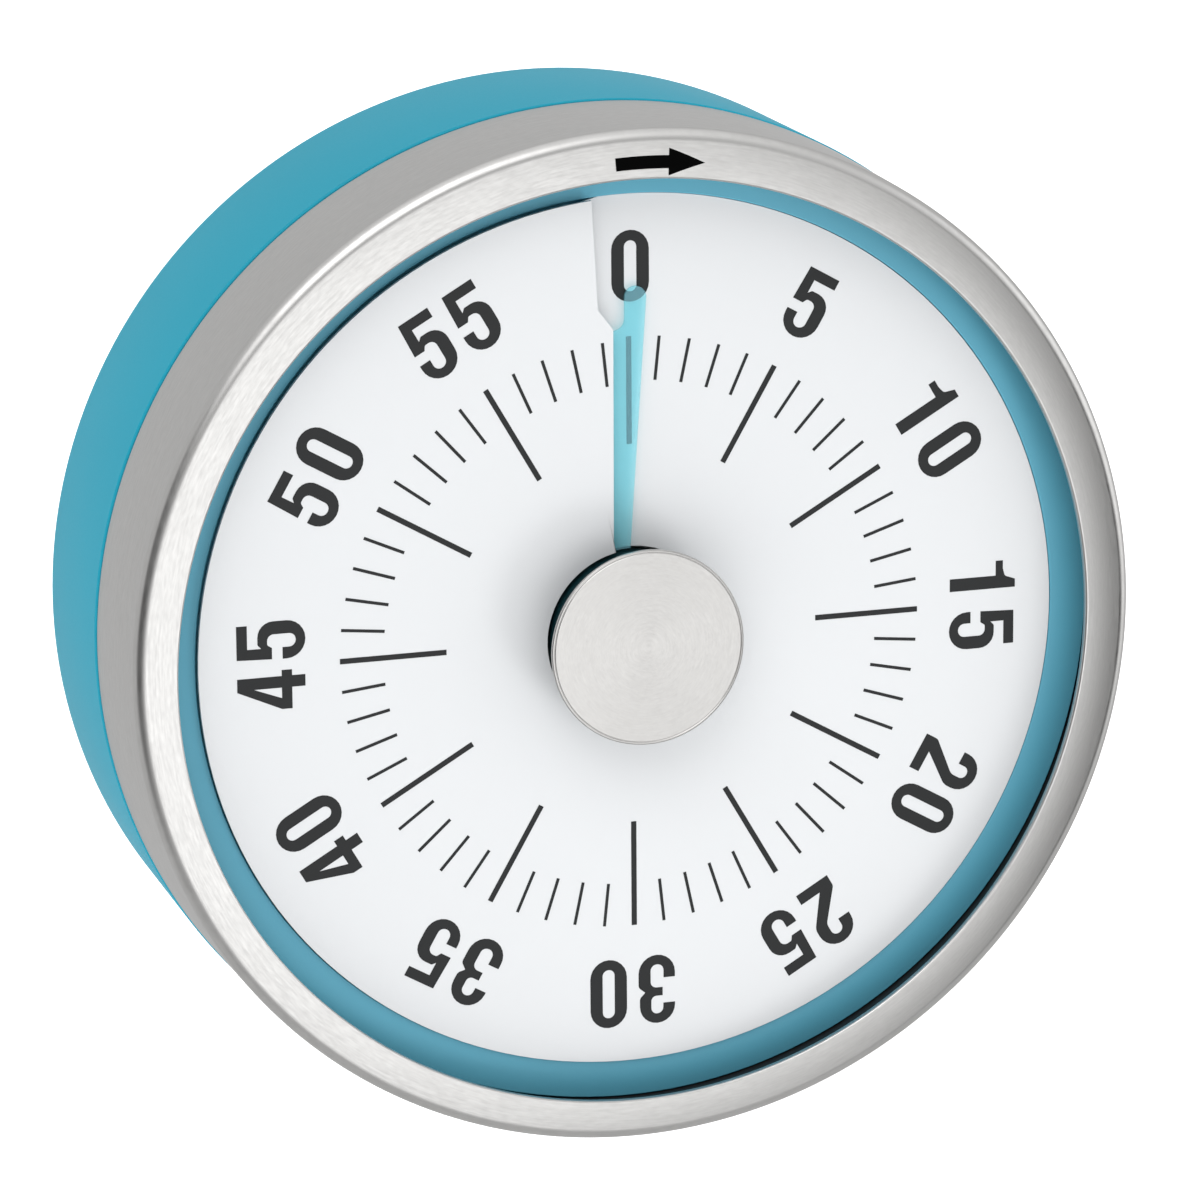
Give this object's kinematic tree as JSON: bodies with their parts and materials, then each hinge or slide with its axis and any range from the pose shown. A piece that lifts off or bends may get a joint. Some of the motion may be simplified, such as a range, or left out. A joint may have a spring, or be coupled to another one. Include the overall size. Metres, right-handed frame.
{
  "type": "visual countdown kitchen timer",
  "caption": "Round countdown kitchen timer: a steel bezel and knob, a slit minute dial and a coloured disc that shows the time left; it hangs by a rear magnet.",
  "frame": {"origin": "centre of the rear face of the holding magnet, on the timer's axis", "axes": "-Y out of the dial towards the reader, +Y into the steel surface it hangs on, +Z towards the zero mark, +X towards the 15 minute mark"},
  "size_m": [0.077, 0.029, 0.077],
  "materials": {
    "teal_plastic": "satin moulded plastic",
    "brushed_steel": "brushed",
    "black_plastic": "fine matt",
    "dial_white": "satin white sheet",
    "clear_teal": "translucent tinted film",
    "knob_plastic": "satin",
    "frame_plastic": "moulded",
    "gear_plastic": "moulded",
    "bright_steel": "bright",
    "brass": "turned",
    "copper_wire": "enamelled winding",
    "ferrite": "sintered",
    "circuit_board": "solder mask",
    "cell_wrap": "printed sleeve",
    "red_wire": "insulation"
  },
  "bodies": {
    "case": {"body_shell": "teal_plastic", "front_ring": "teal_plastic", "rear_cover": "teal_plastic", "bezel": "brushed_steel", "bezel_gasket": "black_plastic", "coil_bobbin": "black_plastic", "battery_tray": "black_plastic", "chip": "black_plastic", "capacitor": "black_plastic", "buzzer": "black_plastic", "negative_wire": "black_plastic", "dial": "dial_white", "chassis_plate": "frame_plastic", "movement_plate": "frame_plastic", "stator": "bright_steel", "coil_core": "bright_steel", "quartz_crystal": "bright_steel", "volume_switch": "bright_steel", "duration_switch": "bright_steel", "battery_spring": "bright_steel", "positive_contact": "bright_steel", "negative_contact": "bright_steel", "magnet_yoke": "bright_steel", "spindle_bush": "brass", "pivot_bush": "brass", "coil_winding": "copper_wire", "magnet": "ferrite", "circuit_board": "circuit_board", "battery": "cell_wrap", "positive_wire": "red_wire", "cover_screw_1": "bright_steel", "cover_screw_2": "bright_steel", "cover_screw_3": "bright_steel", "cover_screw_4": "bright_steel", "movement_screw_1": "bright_steel", "movement_screw_2": "bright_steel", "movement_screw_3": "bright_steel"},
    "knob": {"knob_cap": "brushed_steel", "knob_core": "knob_plastic", "spindle": "bright_steel", "clutch_spring": "bright_steel", "clutch_collar": "brass", "clutch_retainer": "brass", "spindle_clip": "bright_steel"},
    "disc": {"time_disc": "clear_teal", "disc_hub": "knob_plastic"},
    "centre_wheel": {"centre_wheel": "gear_plastic"},
    "third_wheel": {"third_wheel": "gear_plastic"},
    "fourth_wheel": {"fourth_wheel": "gear_plastic"},
    "rotor": {"rotor_pinion": "gear_plastic", "rotor_magnet": "ferrite"},
    "battery_door": {"battery_door": "teal_plastic"},
    "volume_lever": {"volume_lever": "black_plastic"},
    "duration_lever": {"duration_lever": "black_plastic"}
  },
  "joints": [
    {"name": "knob_turn", "type": "hinge", "parent": "case", "child": "knob", "pos_m": [0, -0.0285, 0], "axis": [0, 1, 0], "range_deg": [0, 360]},
    {"name": "disc_rise", "type": "slide", "parent": "knob", "child": "disc", "axis": [0, -1, 0], "range_m": [0, 0.00111]},
    {"name": "centre_wheel_turn", "type": "hinge", "parent": "case", "child": "centre_wheel", "pos_m": [0, -0.02, 0], "axis": [0, 1, 0], "continuous": true},
    {"name": "third_wheel_turn", "type": "hinge", "parent": "case", "child": "third_wheel", "pos_m": [0.00858, -0.0175, 0.0072], "axis": [0, 1, 0], "continuous": true},
    {"name": "fourth_wheel_turn", "type": "hinge", "parent": "case", "child": "fourth_wheel", "pos_m": [0.00228, -0.0155, 0.01471], "axis": [0, 1, 0], "continuous": true},
    {"name": "rotor_turn", "type": "hinge", "parent": "case", "child": "rotor", "pos_m": [-0.0064, -0.0185, 0.01155], "axis": [0, 1, 0], "continuous": true},
    {"name": "battery_door_hinge", "type": "hinge", "parent": "case", "child": "battery_door", "pos_m": [0, -0.0019, -0.0243], "axis": [-1, 0, 0], "range_deg": [0, 75]},
    {"name": "volume_slide", "type": "slide", "parent": "case", "child": "volume_lever", "axis": [-1, 0, 0], "range_m": [0, 0.0026]},
    {"name": "duration_slide", "type": "slide", "parent": "case", "child": "duration_lever", "axis": [1, 0, 0], "range_m": [0, 0.0026]}
  ],
  "couplings": [
    {"joint": "disc_rise", "follows": "knob_turn", "m_per_rad": 0.00017507},
    {"joint": "rotor_turn", "follows": "fourth_wheel_turn", "ratio": -10},
    {"joint": "third_wheel_turn", "follows": "fourth_wheel_turn", "ratio": -0.16667},
    {"joint": "centre_wheel_turn", "follows": "fourth_wheel_turn", "ratio": 0.027778}
  ]
}
